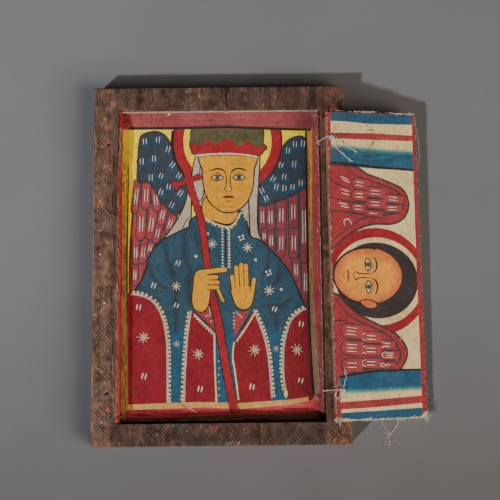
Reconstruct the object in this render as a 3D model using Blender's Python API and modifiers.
"""A small folding painted icon, lying on its back: a carved panel with a painted cloth in its
sunk field, and one painted wing that two string ties hinge to the right-hand stile.

X is to the right of the picture, Y is up the picture, and Z is out of it. The origin is the centre
of the panel's back. Sizes are in metres.
"""

import math

import bmesh
import bpy
from mathutils import Matrix, Vector

# Panel: one plank, with a sunk field that leaves a raised frame
panel_width = 0.245
panel_length = 0.347
panel_thickness = 0.021
stile_width = 0.0242
top_rail_width = 0.0234
bottom_rail_width = 0.0218
arris = 0.0008

# Sunk field: straight walls that take the closed wings, then slopes down to the picture
picture_depth = 0.012
slope_rise = 0.0035
side_slope = 0.010
top_slope = 0.0164
bottom_slope = 0.0125

# Painted cloths, and the gap that glued or fitted pieces keep
cloth_thickness = 0.0008
fit_gap = 0.0003
flap_reach = 0.0015

# Wing, measured over its wrapped cloth
wing_width = 0.092
wing_thickness = 0.008
wing_side_clearance = 0.0018
wing_foot_clearance = 0.0006
wing_head_clearance = 0.0062
wrap_margin = 0.0015
peg_hole_radius = 0.0008
peg_hole_across = 0.040
peg_hole_up = 0.0068

# Hinge line that the ties make
hinge_set_back = 0.0010
hinge_rise = 0.0033
hinge_skew = 0.0023
floor_clearance = 0.0004

# String ties
string_radius = 0.0005
tie_hole_radius = 0.0012
tie_inset = 0.0277
top_tie_from_edge = 0.0030
bottom_tie_from_edge = 0.0060
stile_hole_inset = 0.0094
stile_hole_drop = 0.0055
knot_radius = 0.0015
bead_radius = 0.0013
bead_length = 0.0030

# The ties' tails: steps across and up the wing from each tie's hole, and the lift off its face
bead_lift = bead_radius - string_radius
top_tails = (
    ((0.0061, -0.0020, 0), (0.0150, -0.0070, 0), (0.0245, -0.0125, 0)),
    ((0.0042, -0.0095, bead_lift), (0.0098, -0.0145, bead_lift), (0.0190, -0.0220, 0)),
)
bottom_tails = (
    ((0.0015, 0.0060, 0), (0.0035, 0.0110, 0), (0.0030, 0.0190, 0)),
    ((-0.0015, -0.0040, 0), (-0.0025, -0.0090, 0)),
)

# Hatched chip carving on the frame
hatch_block = 0.0205
hatch_pitch = 0.0042
chip_width = 0.0013
chip_depth = 0.0008
hatch_margin = 0.0016

recess_left = -panel_width / 2 + stile_width
recess_right = panel_width / 2 - stile_width
recess_top = panel_length / 2 - top_rail_width
recess_bottom = -panel_length / 2 + bottom_rail_width
picture_level = panel_thickness - picture_depth
bed_drop = cloth_thickness + 1.35 * fit_gap
wrap = cloth_thickness + fit_gap

# The closed wing lies face down in the sunk field, with its back level with the frame
wing_edge = recess_right - wing_side_clearance
wing_bottom = recess_bottom + wing_foot_clearance
wing_length = recess_top - wing_head_clearance - wing_bottom
wing_middle = wing_bottom + wing_length / 2
wing_face = panel_thickness - wing_thickness
hinge_x = recess_right + hinge_set_back


def resting_tilt():
    """The tilt at which the open wing lies on the stile's outer edge and almost meets the floor."""
    low_hinge_x = hinge_x + hinge_skew / 2
    reach = panel_width / 2 - low_hinge_x
    tilt = math.radians(15)
    for _ in range(40):
        height = hinge_height(tilt, reach)
        near_edge = (low_hinge_x - wing_edge) * math.cos(tilt) + height * math.sin(tilt)
        free_span = wing_width - (reach - near_edge) / math.cos(tilt)
        tilt = math.asin((panel_thickness + fit_gap - floor_clearance) / free_span)
    return tilt


def hinge_height(tilt, reach):
    """How far above the frame the hinge line lies, for the open wing to clear the stile's edge."""
    return (fit_gap + reach * math.tan(tilt)) / (1 + 1 / math.cos(tilt))


wing_tilt = resting_tilt()
open_angle = math.pi + wing_tilt
hinge_low = hinge_height(wing_tilt, panel_width / 2 - hinge_x - hinge_skew / 2)
hinge_point = Vector((hinge_x, wing_middle, panel_thickness + hinge_low + hinge_rise / 2))
hinge_axis = Vector((-hinge_skew, wing_length, hinge_rise)).normalized()
opening = Matrix.Rotation(open_angle, 4, hinge_axis)


def make_collection(name):
    collection = bpy.data.collections.new(name)
    bpy.context.scene.collection.children.link(collection)
    return collection


def make_material(name, colour, roughness, metallic=0.0):
    material = bpy.data.materials.new(name)
    material.use_nodes = True
    shader = material.node_tree.nodes["Principled BSDF"]
    shader.inputs["Base Color"].default_value = (*colour, 1)
    shader.inputs["Roughness"].default_value = roughness
    shader.inputs["Metallic"].default_value = metallic
    material.diffuse_color = (*colour, 1)
    return material


def add_object(name, bm, collection, material=None):
    """Turns a bmesh into an object."""
    mesh = bpy.data.meshes.new(name)
    bm.to_mesh(mesh)
    bm.free()
    obj = bpy.data.objects.new(name, mesh)
    collection.objects.link(obj)
    if material:
        mesh.materials.append(material)
    if collection is cutters:
        obj.hide_render = True
        obj.display_type = "WIRE"
    return obj


def box(low, high):
    """A bmesh box between two corners."""
    bm = bmesh.new()
    low, high = Vector(low), Vector(high)
    size = Matrix.Diagonal((high - low).to_4d())
    bmesh.ops.create_cube(bm, size=1.0, matrix=Matrix.Translation((low + high) / 2) @ size)
    return bm


def cut(obj, cutter):
    modifier = obj.modifiers.new(cutter.name, "BOOLEAN")
    modifier.operation = "DIFFERENCE"
    modifier.solver = "EXACT"
    modifier.object = cutter


def add_bevel(obj, width):
    modifier = obj.modifiers.new("arris", "BEVEL")
    modifier.width = width
    modifier.segments = 1
    modifier.limit_method = "ANGLE"


def drill(name, start, end, radius):
    """A round cutter from start to end."""
    bm = bmesh.new()
    start, end = Vector(start), Vector(end)
    turn = (end - start).to_track_quat("Z", "Y").to_matrix().to_4x4()
    bmesh.ops.create_cone(
        bm,
        cap_ends=True,
        segments=12,
        radius1=radius,
        radius2=radius,
        depth=(end - start).length,
        matrix=Matrix.Translation((start + end) / 2) @ turn,
    )
    return add_object(name, bm, cutters)


def outward(a, b, extra):
    """The two points, each moved away from the other."""
    a, b = Vector(a), Vector(b)
    step = (b - a).normalized() * extra
    return a - step, b + step


def well_cutter():
    """The sloping lower part of the sunk field, under the cloth."""
    bed = picture_level - bed_drop
    over = 0.5 * (picture_depth - slope_rise)
    bm = box((recess_left, recess_bottom, bed), (recess_right, recess_top, bed + slope_rise))
    for vert in bm.verts:
        if vert.co.z < bed + slope_rise / 2:
            vert.co.x += side_slope if vert.co.x < 0 else -side_slope
            vert.co.y += bottom_slope if vert.co.y < 0 else -top_slope
    top = [face for face in bm.faces if face.normal.z > 0.9]
    raised = bmesh.ops.extrude_face_region(bm, geom=top)["geom"]
    verts = [item for item in raised if isinstance(item, bmesh.types.BMVert)]
    bmesh.ops.translate(bm, vec=(0, 0, over), verts=verts)
    bmesh.ops.delete(bm, geom=top, context="FACES")
    bmesh.ops.recalc_face_normals(bm, faces=bm.faces)
    return add_object("well_cutter", bm, cutters)


def rebate_cutter():
    """The straight-walled upper part of the sunk field, which takes the closed wings."""
    low = picture_level - bed_drop + slope_rise
    bm = box((recess_left, recess_bottom, low), (recess_right, recess_top, 2 * panel_thickness))
    return add_object("rebate_cutter", bm, cutters)


def clipped(point, direction, low, high):
    """The two ends of the part of a line that lies inside a rectangle, or None."""
    near, far = -1e9, 1e9
    for axis in range(2):
        a = (low[axis] - point[axis]) / direction[axis]
        b = (high[axis] - point[axis]) / direction[axis]
        near, far = max(near, min(a, b)), min(far, max(a, b))
    return (near, far) if far > near else None


def hatch_lines(low, high, slant):
    """Parallel strokes at 45 degrees across one block of the frame: (centre, length, angle)."""
    middle = Vector(((low[0] + high[0]) / 2, (low[1] + high[1]) / 2))
    along = Vector((1, slant)).normalized()
    across = Vector((-along.y, along.x))
    span = (high[0] - low[0] + high[1] - low[1]) / 2
    count = int(span / hatch_pitch)
    strokes = []
    for index in range(-count, count + 1):
        point = middle + across * (index * hatch_pitch)
        ends = clipped(point, along, low, high)
        if ends and ends[1] - ends[0] > 2.5 * hatch_pitch / 2:
            centre = point + along * (sum(ends) / 2)
            strokes.append((centre, ends[1] - ends[0], math.atan2(along.y, along.x)))
    return strokes


def carved_blocks():
    """The rectangles that the hatching fills, with the way each one slants."""
    outer_x = panel_width / 2 - arris - hatch_margin
    outer_y = panel_length / 2 - arris - hatch_margin
    stiles = (
        (-outer_x, recess_left - hatch_margin),
        (recess_right + hatch_margin, outer_x),
    )
    rails = (
        (recess_top + hatch_margin, outer_y),
        (-outer_y, recess_bottom - hatch_margin),
    )
    blocks = []
    rows = round(2 * outer_y / hatch_block)
    height = 2 * outer_y / rows
    for side, (left, right) in enumerate(stiles):
        for row in range(rows):
            bottom = -outer_y + row * height
            low = (left, bottom + hatch_margin / 2)
            high = (right, bottom + height - hatch_margin / 2)
            blocks.append((low, high, 1 if (row + side) % 2 else -1))
    columns = round((recess_right - recess_left) / hatch_block)
    width = (recess_right - recess_left) / columns
    for side, (bottom, top) in enumerate(rails):
        for column in range(columns):
            left = recess_left + column * width
            low = (left + hatch_margin / 2, bottom)
            high = (left + width - hatch_margin / 2, top)
            blocks.append((low, high, 1 if (column + side) % 2 else -1))
    return blocks


def clear_of_holes(centre, length):
    """Whether a stroke stays away from the four tie holes in the frame."""
    for side in (-1, 1):
        for tie_y in tie_places:
            hole = Vector((side * (recess_right + stile_hole_inset), tie_y))
            if (centre - hole).length < length / 2 + 2 * tie_hole_radius:
                return False
    return True


def chip_cutter():
    """All the carved strokes: long shallow chips, each a four-sided cone that points down."""
    bm = bmesh.new()
    over = 0.25
    for low, high, slant in carved_blocks():
        for centre, length, angle in hatch_lines(low, high, slant):
            if not clear_of_holes(centre, length):
                continue
            place = Matrix.Translation((*centre, panel_thickness + (over - 1) * chip_depth / 2))
            turn = Matrix.Rotation(angle, 4, "Z")
            size = Matrix.Diagonal((length / 2 * (1 + over), chip_width / 2 * (1 + over), 1, 1))
            bmesh.ops.create_cone(
                bm,
                cap_ends=True,
                segments=4,
                radius1=0,
                radius2=1,
                depth=chip_depth * (1 + over),
                matrix=place @ turn @ size,
            )
    return add_object("chip_cutter", bm, cutters)


def stile_hole(side, tie_y):
    """The two ends of the slanting tie hole: on the frame's face, and on the field's wall."""
    top = Vector((side * (recess_right + stile_hole_inset), tie_y, panel_thickness))
    wall = Vector((side * recess_right, tie_y, panel_thickness - stile_hole_drop))
    return top, wall


def make_panel():
    low = (-panel_width / 2, -panel_length / 2, 0)
    high = (panel_width / 2, panel_length / 2, panel_thickness)
    panel = add_object("panel", box(low, high), icon, wood)
    add_bevel(panel, arris)
    cut(panel, rebate_cutter())
    cut(panel, well_cutter())
    for side in (-1, 1):
        for number, tie_y in enumerate(tie_places):
            start, end = outward(*stile_hole(side, tie_y), 3 * tie_hole_radius)
            name = f"stile_hole_{'left' if side < 0 else 'right'}_{number + 1}"
            cut(panel, drill(name, start, end, tie_hole_radius))
    cut(panel, chip_cutter())
    return panel


def make_panel_cloth():
    """A shallow tray: the picture, its slopes, and a flap up the wall under the top rail."""
    edge = cloth_thickness / 2 + 1.5 * fit_gap
    bm = bmesh.new()
    bmesh.ops.create_grid(bm, x_segments=1, y_segments=1, size=0.5)
    field_x = (recess_left + side_slope, recess_right - side_slope)
    field_y = (recess_bottom + bottom_slope, recess_top - top_slope)
    for vert in bm.verts:
        vert.co.x = field_x[vert.co.x > 0]
        vert.co.y = field_y[vert.co.y > 0]
        vert.co.z = picture_level
    rim = bmesh.ops.extrude_edge_only(bm, edges=bm.edges[:])["geom"]
    for vert in [item for item in rim if isinstance(item, bmesh.types.BMVert)]:
        vert.co.x = recess_left + edge if vert.co.x < 0 else recess_right - edge
        vert.co.y = recess_bottom + edge if vert.co.y < 0 else recess_top - edge
        vert.co.z = picture_level + slope_rise
    bm.edges.ensure_lookup_table()
    top_edge = [
        item
        for item in bm.edges
        if item.is_boundary and all(vert.co.y > field_y[1] + edge for vert in item.verts)
    ]
    flap = bmesh.ops.extrude_edge_only(bm, edges=top_edge)["geom"]
    for vert in [item for item in flap if isinstance(item, bmesh.types.BMVert)]:
        vert.co.z = panel_thickness - flap_reach
    bmesh.ops.recalc_face_normals(bm, faces=bm.faces)
    if sum(face.normal.z for face in bm.faces) < 0:
        bmesh.ops.reverse_faces(bm, faces=bm.faces)
    cloth = add_object("panel_cloth", bm, icon, painted_cloth)
    solidify = cloth.modifiers.new("cloth", "SOLIDIFY")
    solidify.thickness = cloth_thickness
    solidify.offset = -1
    solidify.use_even_offset = True
    return cloth


def on_hinge(obj):
    """Parents a piece that was modelled closed to the hinge, which then opens it."""
    obj.parent = hinge
    obj.location = -hinge_point


def wing_point(across, up, above):
    """A place on the open wing: from its hinged edge, from its lower end, and over its painted face."""
    closed = Vector((wing_edge - across, wing_bottom + up, wing_face - above))
    return hinge_point + opening @ (closed - hinge_point)


def wing_holes():
    """The closed wing's holes, as (across, up, radius)."""
    low, high = (tie_y - wing_bottom for tie_y in sorted(tie_places))
    return (
        (top_tie_from_edge, high, tie_hole_radius),
        (bottom_tie_from_edge, low, tie_hole_radius),
        (peg_hole_across, peg_hole_up, peg_hole_radius),
    )


def wing_drills():
    drills = []
    for number, (across, up, radius) in enumerate(wing_holes()):
        x, y = wing_edge - across, wing_bottom + up
        ends = (x, y, wing_face - wing_thickness), (x, y, panel_thickness + wing_thickness)
        drill_object = drill(f"wing_hole_{number + 1}", *ends, radius)
        on_hinge(drill_object)
        drills.append(drill_object)
    return drills


def wing_box(inset, face_inset, back_inset):
    low = (wing_edge - wing_width + inset, wing_bottom + inset, wing_face + face_inset)
    high = (wing_edge - inset, wing_bottom + wing_length - inset, panel_thickness - back_inset)
    return box(low, high)


def make_wing():
    board = add_object("wing_board", wing_box(wrap, wrap, 0), icon, wood)
    add_bevel(board, arris)
    cloth = add_object("wing_cloth", wing_box(0, 0, wrap_margin), icon, painted_cloth)
    add_bevel(cloth, arris)
    core = add_object("wing_core", wing_box(cloth_thickness, cloth_thickness, -wrap), cutters)
    cut(cloth, core)
    for piece in (board, cloth, core):
        on_hinge(piece)
    for drill_object in wing_drills():
        cut(board, drill_object)
        cut(cloth, drill_object)


def smooth_route(points, step):
    """Points about a step apart on a Catmull-Rom curve through the given points."""
    ends = [2 * points[0] - points[1], *points, 2 * points[-1] - points[-2]]
    route = []
    for a, b, c, d in zip(ends, ends[1:], ends[2:], ends[3:]):
        count = max(1, round((c - b).length / step))
        for index in range(count):
            t = index / count
            route.append(
                0.5 * (2 * b + (c - a) * t + (2 * a - 5 * b + 4 * c - d) * t**2
                       + (3 * b - a - 3 * c + d) * t**3)
            )
    return [*route, points[-1]]


def tube_mesh(name, points, radius):
    """A round string along a route, as a welded mesh."""
    curve = bpy.data.curves.new(name, "CURVE")
    curve.dimensions = "3D"
    curve.bevel_depth = radius
    curve.bevel_resolution = 1
    curve.use_fill_caps = True
    spline = curve.splines.new("POLY")
    spline.points.add(len(points) - 1)
    for item, point in zip(spline.points, points):
        item.co = (*point, 1)
    guide = bpy.data.objects.new(name, curve)
    bpy.context.scene.collection.objects.link(guide)
    bpy.context.view_layer.update()
    graph = bpy.context.evaluated_depsgraph_get()
    mesh = bpy.data.meshes.new_from_object(guide.evaluated_get(graph))
    bpy.data.objects.remove(guide)
    bm = bmesh.new()
    bm.from_mesh(mesh)
    bpy.data.meshes.remove(mesh)
    bmesh.ops.remove_doubles(bm, verts=bm.verts, dist=1e-6)
    bmesh.ops.recalc_face_normals(bm, faces=bm.faces)
    return bm


def tie_route(tie_y, from_edge, tails):
    """One string: a tail, the loop round the stile's edge and the wing's, and the other tail."""
    up = tie_y - wing_bottom
    top, wall = stile_hole(1, tie_y)
    rest = string_radius + fit_gap
    side_step = Vector((0, 2 * rest, 0))
    lift = Vector((0, 0, 2 * rest))
    into_hole = (wall - top).normalized()
    over_edge = wing_point(-rest, up, rest) + side_step
    first_tail, second_tail = (
        [wing_point(from_edge + x, up + y, rest + raised) for x, y, raised in tail] for tail in tails
    )
    return [
        *reversed(first_tail),
        wing_point(from_edge + rest, up + 2 * rest, rest) + lift / 4,
        wing_point(from_edge / 2, up + 2 * rest, rest),
        over_edge,
        wing_point(-3 * rest, up, -wing_thickness / 2) + side_step / 2,
        wall + Vector((-2.4 * rest, side_step.y / 3, stile_hole_drop)),
        wall + into_hole * 1.6 * rest,
        wall - into_hole * rest,
        top + into_hole * rest,
        top - into_hole * rest / 2 + lift / 2,
        wing_point(from_edge, up, -wing_thickness - rest),
        wing_point(from_edge, up, -wing_thickness / 2),
        wing_point(from_edge, up, rest / 2),
        *second_tail,
    ]


def make_tie(name, tie_y, from_edge, tails):
    """A string tie, with its knot at the mouth of the wing's hole."""
    points = smooth_route(tie_route(tie_y, from_edge, tails), 2.2 * string_radius)
    tie = add_object(name, tube_mesh(name, points, string_radius), icon, cotton)
    bm = bmesh.new()
    place = wing_point(from_edge, tie_y - wing_bottom, knot_radius + fit_gap)
    bmesh.ops.create_icosphere(
        bm, subdivisions=2, radius=knot_radius, matrix=Matrix.Translation(place)
    )
    knot = add_object(f"{name}_knot", bm, cutters)
    union = tie.modifiers.new("knot", "BOOLEAN")
    union.operation = "UNION"
    union.solver = "EXACT"
    union.object = knot
    return tie


def make_bead(tie_y, from_edge, tail):
    """A red bead threaded on the top tie's lower tail."""
    near, far = Vector(tail[0]), Vector(tail[1])
    middle = (near + far) / 2
    step = (far - near).normalized() * bead_length / 2
    up = tie_y - wing_bottom
    start, end = (
        wing_point(from_edge + spot.x, up + spot.y, bead_radius + fit_gap)
        for spot in (middle - step, middle + step)
    )
    turn = (end - start).to_track_quat("Z", "Y").to_matrix().to_4x4()
    size = Matrix.Diagonal((bead_radius, bead_radius, bead_length / 2, 1))
    bm = bmesh.new()
    bmesh.ops.create_uvsphere(
        bm,
        u_segments=12,
        v_segments=8,
        radius=1,
        matrix=Matrix.Translation((start + end) / 2) @ turn @ size,
    )
    bead = add_object("red_bead", bm, icon, red_glass)
    cut(bead, drill("bead_bore", *outward(start, end, bead_length), string_radius + fit_gap))


for item in list(bpy.data.objects):
    bpy.data.objects.remove(item)

icon = make_collection("religious_icon")
cutters = make_collection("cutters")
wood = make_material("carved_wood", (0.20, 0.12, 0.07), 0.75)
painted_cloth = make_material("painted_cloth", (0.42, 0.07, 0.08), 0.85)
cotton = make_material("cotton_string", (0.72, 0.68, 0.60), 0.9)
red_glass = make_material("red_bead", (0.65, 0.03, 0.04), 0.3)

tie_places = (wing_bottom + wing_length - tie_inset, wing_bottom + tie_inset)
hinge = bpy.data.objects.new("wing_hinge", None)
icon.objects.link(hinge)
hinge.location = hinge_point
hinge.rotation_mode = "AXIS_ANGLE"
hinge.rotation_axis_angle = (open_angle, *hinge_axis)

make_panel()
make_panel_cloth()
make_wing()
make_tie("tie_top", tie_places[0], top_tie_from_edge, top_tails)
make_tie("tie_bottom", tie_places[1], bottom_tie_from_edge, bottom_tails)
make_bead(tie_places[0], top_tie_from_edge, top_tails[1])
